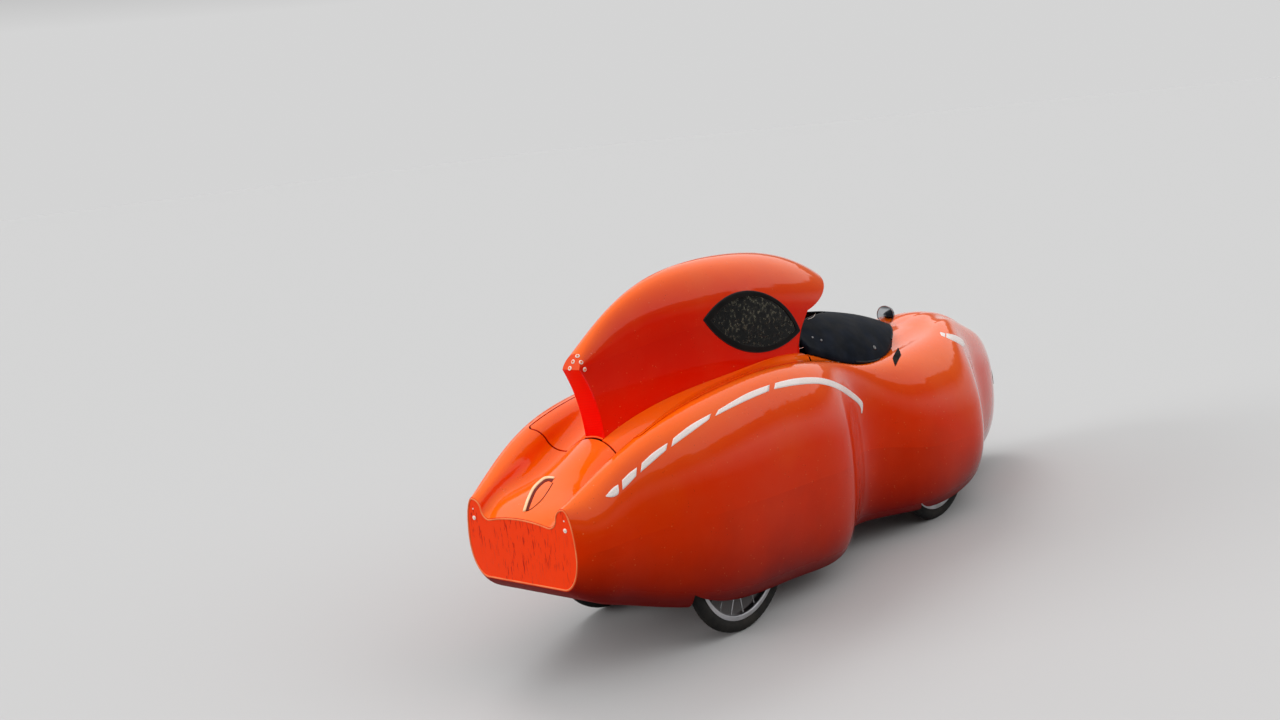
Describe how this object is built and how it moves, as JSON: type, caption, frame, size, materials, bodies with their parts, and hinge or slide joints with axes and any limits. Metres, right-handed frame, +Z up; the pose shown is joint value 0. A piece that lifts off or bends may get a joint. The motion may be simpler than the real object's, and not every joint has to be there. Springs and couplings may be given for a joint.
{
  "type": "velomobile",
  "caption": "Faired recumbent cycle: smooth pod body on wheels hidden in arches, hinged rear lid with a tall hood and side windows, soft cockpit cover and a round mirror.",
  "frame": {"origin": "on the ground, below the centre of the bounding box", "axes": "+Y forwards, +X to the vehicle's right-hand side, +Z up"},
  "size_m": [0.7876, 2.804, 1.099],
  "materials": {
    "gelcoat": "glossy orange gelcoat on laminate",
    "tail_panel": "translucent orange-red sheet",
    "foam": "matt dark blue-grey foam",
    "window": "clear tinted pane",
    "red_lens": "translucent red lamp strip",
    "steel": "satin",
    "liner": "dark laminate",
    "strut": "black anodised tube",
    "alloy": "satin",
    "tyre": "worn rubber",
    "laminate": "dark laminate",
    "seat_fabric": "black mesh over foam",
    "black_plastic": "moulded black plastic",
    "mirror": "convex mirror glass",
    "lamp_lens": "clear lens",
    "reflector": "bright reflector"
  },
  "bodies": {
    "vehicle": {"hull_shell": "gelcoat", "tail_plate": "tail_panel", "cockpit_cover": "foam", "lid_hinge_rear": "steel", "lid_hinge_front": "steel", "wheel_arch_front_left": "liner", "wheel_arch_front_right": "liner", "wheel_arch_rear_left": "liner", "wheel_arch_rear_right": "liner", "strut_left": "strut", "strut_right": "strut", "lower_link_left": "steel", "lower_link_right": "steel", "swing_arm_left": "alloy", "swing_arm_right": "alloy", "damper_left": "strut", "damper_right": "strut", "seat_shell": "laminate", "seat_cushion": "seat_fabric", "headrest": "seat_fabric", "mirror_housing": "black_plastic", "mirror_glass": "mirror", "headlight_lens_left": "lamp_lens", "headlight_lens_right": "lamp_lens", "headlight_bowl_left": "reflector", "headlight_bowl_right": "reflector"},
    "lid": {"hood_lid": "gelcoat", "window_left": "window", "window_right": "window", "hood_tail_lens": "red_lens"},
    "steer_left": {"knuckle_left": "alloy"},
    "steer_right": {"knuckle_right": "alloy"},
    "front_wheel_left": {"wheel_front_left": "alloy", "tyre_front_left": "tyre"},
    "front_wheel_right": {"wheel_front_right": "alloy", "tyre_front_right": "tyre"},
    "rear_wheel_left": {"wheel_rear_left": "alloy", "tyre_rear_left": "tyre"},
    "rear_wheel_right": {"wheel_rear_right": "alloy", "tyre_rear_right": "tyre"}
  },
  "joints": [
    {"name": "lid_hinge", "type": "hinge", "parent": "vehicle", "child": "lid", "pos_m": [-0.24, -0.52, 0.757], "axis": [0, -1, 0], "range_deg": [0, 80]},
    {"name": "kingpin_left", "type": "hinge", "parent": "vehicle", "child": "steer_left", "pos_m": [-0.222, 0.43, 0.35], "axis": [0, 0, 1], "range_deg": [-8, 8]},
    {"name": "kingpin_right", "type": "hinge", "parent": "vehicle", "child": "steer_right", "pos_m": [0.222, 0.43, 0.35], "axis": [0, 0, 1], "range_deg": [-8, 8]},
    {"name": "front_spin_left", "type": "hinge", "parent": "steer_left", "child": "front_wheel_left", "pos_m": [-0.27, 0.43, 0.243], "axis": [1, 0, 0], "continuous": true},
    {"name": "rear_spin_left", "type": "hinge", "parent": "vehicle", "child": "rear_wheel_left", "pos_m": [-0.27, -0.78, 0.243], "axis": [1, 0, 0], "continuous": true},
    {"name": "front_spin_right", "type": "hinge", "parent": "steer_right", "child": "front_wheel_right", "pos_m": [0.27, 0.43, 0.243], "axis": [1, 0, 0], "continuous": true},
    {"name": "rear_spin_right", "type": "hinge", "parent": "vehicle", "child": "rear_wheel_right", "pos_m": [0.27, -0.78, 0.243], "axis": [1, 0, 0], "continuous": true}
  ],
  "couplings": [
    {"joint": "kingpin_right", "follows": "kingpin_left", "ratio": 1}
  ]
}
